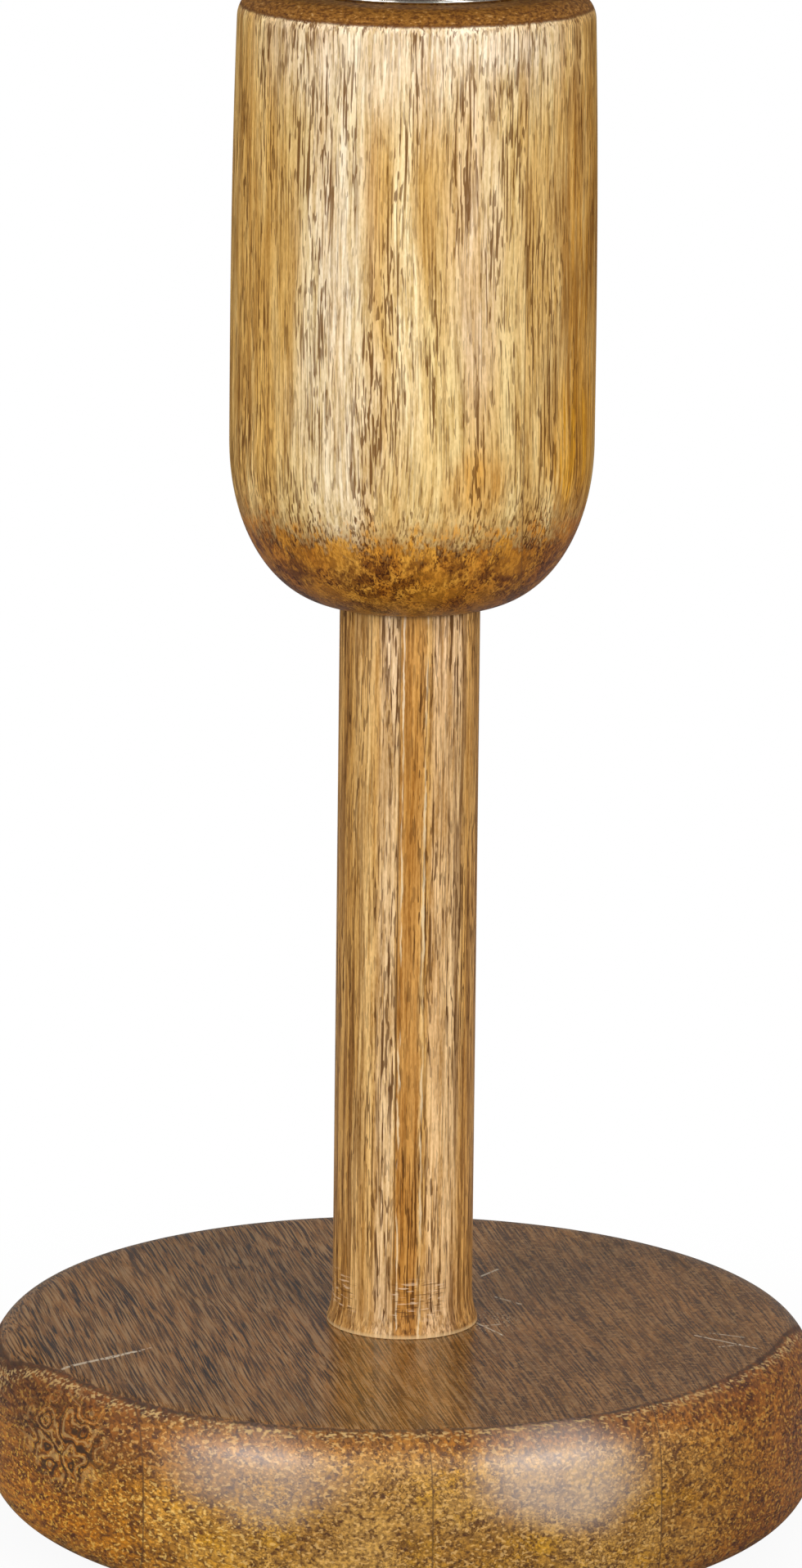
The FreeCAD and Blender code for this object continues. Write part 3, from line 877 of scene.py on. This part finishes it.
def floor_ring():
    """A level ring of four-sided faces: angle a and radius r go to (r cos a, r sin a, 0).

    Its hole leaves the felt's underside free.
    """
    a = 2 * math.pi * np.arange(FLOOR_SIDES) / FLOOR_SIDES
    circle = np.column_stack([np.cos(a), np.sin(a), 0 * a])
    points = np.vstack([circle * (felt_high.x + FLOOR_GAP), circle * FLOOR_REACH])
    here, there = np.arange(FLOOR_SIDES), (np.arange(FLOOR_SIDES) + 1) % FLOOR_SIDES
    faces = np.column_stack([here, here + FLOOR_SIDES, there + FLOOR_SIDES, there])
    mesh = bpy.data.meshes.new("floor")
    mesh.from_pydata(points.tolist(), [], faces.tolist())
    floor = bpy.data.objects.new("floor", mesh)
    bpy.context.scene.collection.objects.link(floor)
    return floor


def floor_finish():
    """White floor that keeps the stand's shadow and fades into the white background.

    From below it is clear, so that the stand's underside can be seen.
    """
    f = Finish("white_floor")
    seen = f.node("ShaderNodeLightPath", {}, {}, "Is Camera Ray")
    f.set(Base_Color=f.mix(seen, (0.24, 0.24, 0.24, 1), (0.95, 0.95, 0.95, 1)), Roughness=0.8,
          Specular_IOR_Level=0.1)
    away = f.length(f.place).ramp(85.0, 220.0)
    white = f.node("ShaderNodeEmission", {}, {"Color": (1, 1, 1, 1), "Strength": 1.0})
    lit = Wire(f, f.shader.outputs[0])
    shown = f.node("ShaderNodeMixShader", {}, {0: seen * (0.93 + away * 0.07), 1: lit, 2: white})
    below = f.node("ShaderNodeNewGeometry", {}, {}, "Backfacing")
    clear = f.node("ShaderNodeBsdfTransparent", {}, {})
    shown = f.node("ShaderNodeMixShader", {}, {0: below, 1: shown, 2: clear})
    f.feed(f.tree.nodes["Material Output"].inputs["Surface"], shown)
    return f.material


floor_ring().data.materials.append(floor_finish())

# The room: white where the camera sees it, two soft lamps and a pale horizon in the gloss,
# and a plain level on everything else
LAMP_DIRECTION = (0.643, 0.766, 0.0)
LAMP_STRENGTH = 12.0
world = bpy.data.worlds.new("studio")
world.use_nodes = True
bpy.context.scene.world = world
room = Nodes(world.node_tree)
rays = room.node("ShaderNodeLightPath", {}, {}).socket.node.outputs
camera_ray, glossy_ray = Wire(room, rays["Is Camera Ray"]), Wire(room, rays["Is Glossy Ray"])
direction = room.node("ShaderNodeTexCoord", {}, {}, "Generated")
height = room.dot(direction, UP)
front = room.dot(direction, FRONT).ramp(-0.2, 0.6)
horizon = height.ramp(-0.08, 0.02)
level = room.vector("MULTIPLY", room.vector("ABSOLUTE", direction), (1.0, 1.0, 0.0))
to_lamp = room.dot(room.vector("NORMALIZE", level), LAMP_DIRECTION)
lamps = to_lamp.ramp(0.955, 0.995) * height.ramp(0.37, 0.48) * height.ramp(0.80, 0.60)
ceiling = height.ramp(0.5, 0.9)
reflected = 0.015 + horizon * (0.17 + front * (0.1 + lamps * LAMP_STRENGTH) + ceiling * 0.2)
ambient = 0.12 + horizon * (0.22 + (1.0 - front) * 0.3)
unseen = glossy_ray * reflected + (1.0 - glossy_ray) * ambient
background = world.node_tree.nodes["Background"]
room.feed(background.inputs["Color"], (1, 1, 1, 1))
room.feed(background.inputs["Strength"], camera_ray + (1.0 - camera_ray) * unseen)

SOFTBOX_AZIMUTH_DEG = 42
SOFTBOX_DISTANCE = 1.2
SOFTBOX_WIDTH, SOFTBOX_TALL = 0.34, 0.95
SOFTBOX_CENTRE = 0.52 * SOFTBOX_TALL
SOFTBOX_TILT_DEG = 78
SOFTBOX_POWER = 9.5


def softbox(name, azimuth_deg):
    """A tall soft light that stands on the floor and faces the stand."""
    light = bpy.data.lights.new(name, "AREA")
    light.shape = "RECTANGLE"
    light.size, light.size_y, light.energy = SOFTBOX_WIDTH, SOFTBOX_TALL, SOFTBOX_POWER
    lamp = bpy.data.objects.new(name, light)
    lamp.visible_camera = lamp.visible_glossy = False
    turn = math.radians(azimuth_deg)
    place = (SOFTBOX_DISTANCE * math.sin(turn), -SOFTBOX_DISTANCE * math.cos(turn), SOFTBOX_CENTRE)
    lamp.matrix_world = (Matrix.Translation(place) @ Matrix.Rotation(turn, 4, "Z")
                         @ Matrix.Rotation(math.radians(SOFTBOX_TILT_DEG), 4, "X"))
    bpy.context.scene.collection.objects.link(lamp)


softbox("softbox_left", -SOFTBOX_AZIMUTH_DEG)
softbox("softbox_right", SOFTBOX_AZIMUTH_DEG)

bpy.context.scene.view_settings.view_transform = "Standard"

bpy.context.view_layer.update()
